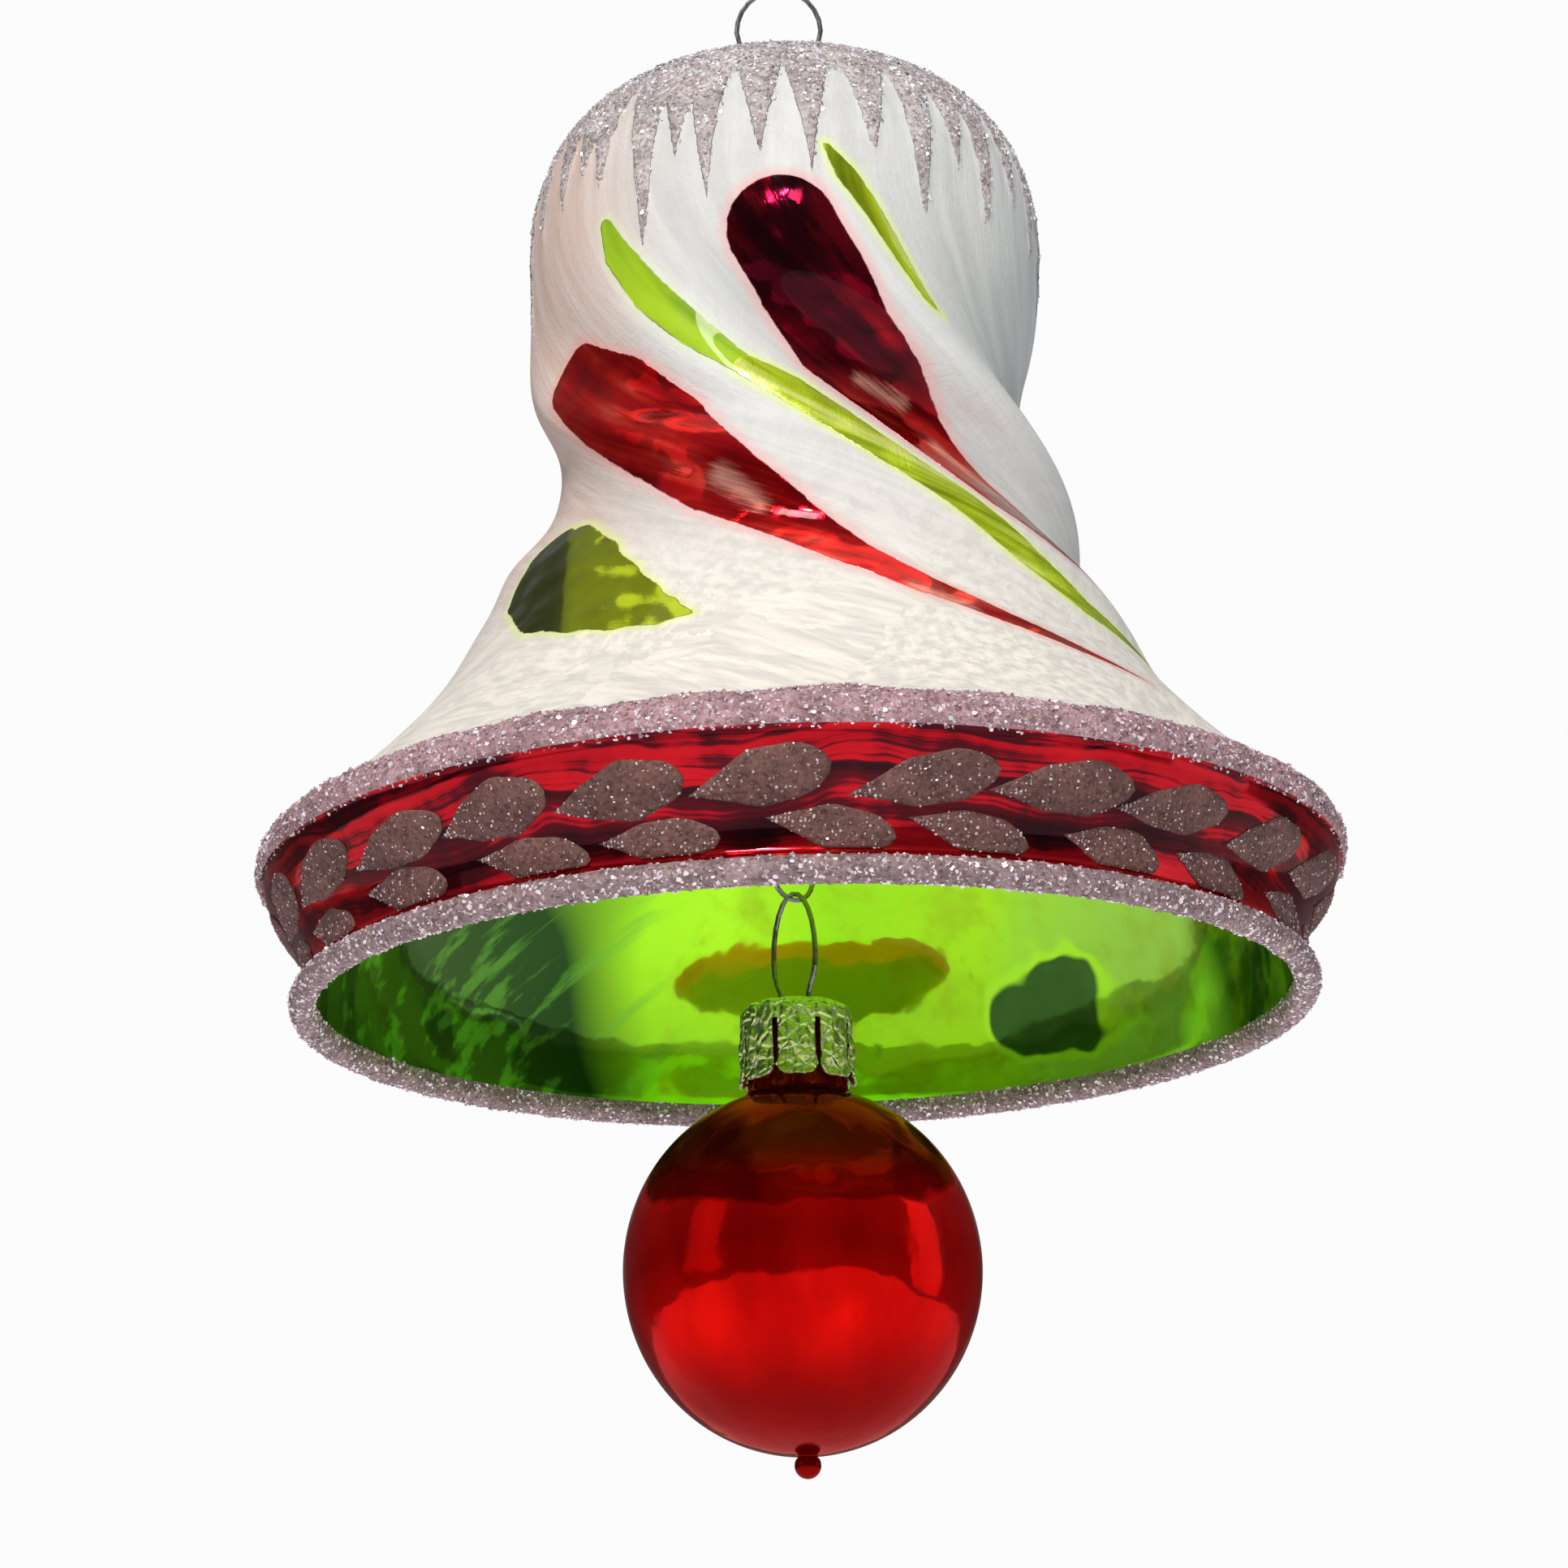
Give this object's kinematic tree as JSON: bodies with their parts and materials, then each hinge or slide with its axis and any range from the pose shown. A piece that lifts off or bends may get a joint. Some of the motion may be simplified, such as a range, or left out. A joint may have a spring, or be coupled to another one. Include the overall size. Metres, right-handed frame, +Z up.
{
  "type": "christmas bell ornament",
  "caption": "Mouth-blown glass bell ornament with swirled folds, a mirrored bowl inside, a wire hanging loop in a crown cap, and a glass ball clapper on a wire link",
  "frame": {"origin": "the hanging point, at the inside of the top of the hanging loop", "axes": "+Z up along the bell's axis, -Y to the front, +X to the right of the front"},
  "size_m": [0.0914, 0.0914, 0.135],
  "materials": {
    "bell_lacquer": "blown glass, silvered inside, lacquered white, red and green, with glitter and clear icicle drops",
    "cap_metal": "thin crinkled silver-coloured sheet",
    "wire_metal": "bright thin spring wire",
    "ball_glass": "clear red blown glass, silvered"
  },
  "bodies": {
    "bell": {"bell_glass": "bell_lacquer", "bell_cap": "cap_metal", "bell_loop": "wire_metal", "clapper_eye": "wire_metal"},
    "hanger": {"hanger_link": "wire_metal"},
    "clapper": {"clapper_loop": "wire_metal", "clapper_cap": "cap_metal", "clapper_ball": "ball_glass"}
  },
  "joints": [
    {"name": "link_swing", "type": "hinge", "parent": "bell", "child": "hanger", "pos_m": [-0.0008, 0, -0.06938], "axis": [0.7071, 0.7071, 0], "range_deg": [-27, 27]},
    {"name": "clapper_swing", "type": "hinge", "parent": "hanger", "child": "clapper", "pos_m": [-0.0008, 0, -0.085], "axis": [0.7071, -0.7071, 0], "range_deg": [-37, 37]}
  ]
}
